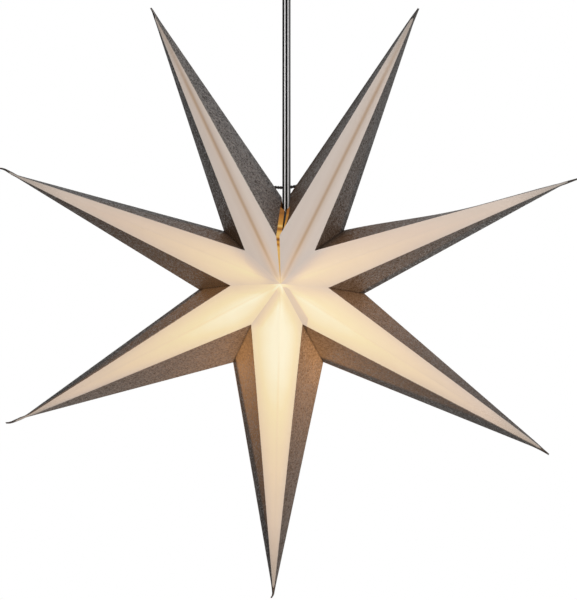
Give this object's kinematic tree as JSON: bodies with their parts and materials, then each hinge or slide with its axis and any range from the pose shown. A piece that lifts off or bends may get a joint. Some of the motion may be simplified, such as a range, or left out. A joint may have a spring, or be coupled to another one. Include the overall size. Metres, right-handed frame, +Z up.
{
  "type": "paper star lantern",
  "caption": "Folded paper star with white bands and silver glitter flanks, lit from inside by a small bulb and hung on a black twin flex from a ceiling canopy.",
  "frame": {"origin": "middle of the two ceiling screw slots, on the bracket's ceiling face", "axes": "+Z up into the ceiling, the lantern hangs along -Z; -Y is the star's front; +X its right side seen from the front"},
  "size_m": [0.4375, 0.117, 0.5143],
  "materials": {
    "star_paper": "matt white paper with silver glitter flanks",
    "tie_string": "dark waxed string",
    "flex_pvc": "black gloss PVC",
    "holder_plastic": "moulded black",
    "carrier_ceramic": "unglazed steatite",
    "contact_brass": "pressed sheet",
    "cap_metal": "pressed bright",
    "bulb_insulator_glass": "black vitreous",
    "bulb_glass": "clear blown glass",
    "filament": "phosphor-coated sticks, lit",
    "steel": "zinc plated",
    "canopy_enamel": "satin black powder coat",
    "grip_nylon": "moulded black nylon",
    "block_nylon": "natural nylon"
  },
  "bodies": {
    "ceiling": {"ceiling_bracket": "steel", "canopy": "canopy_enamel", "canopy_screws": "steel", "terminal_block": "block_nylon", "block_screw": "steel", "pole_screws": "contact_brass", "cord_grip": "grip_nylon", "grip_nut": "grip_nylon", "flex_tail": "flex_pvc"},
    "bush": {"outlet_bush": "grip_nylon"},
    "pendant": {"cord": "flex_pvc", "lampholder_cap": "holder_plastic", "cord_clamp": "holder_plastic", "clamp_screws": "steel", "flex_cores": "flex_pvc", "lampholder_body": "holder_plastic", "contact_carrier": "carrier_ceramic", "post_screws": "contact_brass", "thread_shell": "contact_brass", "centre_contact": "contact_brass"},
    "star": {"point_top_right": "star_paper", "point_right": "star_paper", "point_lower_right": "star_paper", "point_bottom": "star_paper", "point_lower_left": "star_paper", "point_left": "star_paper", "point_top_left": "star_paper", "closing_tie": "tie_string"},
    "bulb_tip": {"bulb_insulator": "bulb_insulator_glass", "bulb_tip_contact": "cap_metal"},
    "bulb": {"bulb_cap": "cap_metal", "bulb_glass": "bulb_glass", "bulb_stem": "bulb_glass", "bulb_filaments": "filament", "filament_wires": "steel"}
  },
  "joints": [
    {"name": "sway_fore_aft", "type": "hinge", "parent": "ceiling", "child": "bush", "pos_m": [0, 0, -0.0485], "axis": [1, 0, 0], "range_deg": [-12, 12]},
    {"name": "sway_sideways", "type": "hinge", "parent": "bush", "child": "pendant", "pos_m": [0, 0, -0.0485], "axis": [0, 1, 0], "range_deg": [-12, 12]},
    {"name": "star_turn", "type": "hinge", "parent": "pendant", "child": "star", "pos_m": [0, 0, -0.278], "axis": [0, 0, 1], "continuous": true},
    {"name": "bulb_lift", "type": "slide", "parent": "pendant", "child": "bulb_tip", "axis": [0, 0, -1], "range_m": [0, 0.0114]},
    {"name": "bulb_turn", "type": "hinge", "parent": "bulb_tip", "child": "bulb", "pos_m": [0, 0, -0.278], "axis": [0, 0, -1], "range_deg": [0, 1440]}
  ],
  "couplings": [
    {"joint": "bulb_lift", "follows": "bulb_turn", "m_per_rad": 0.00044882}
  ]
}
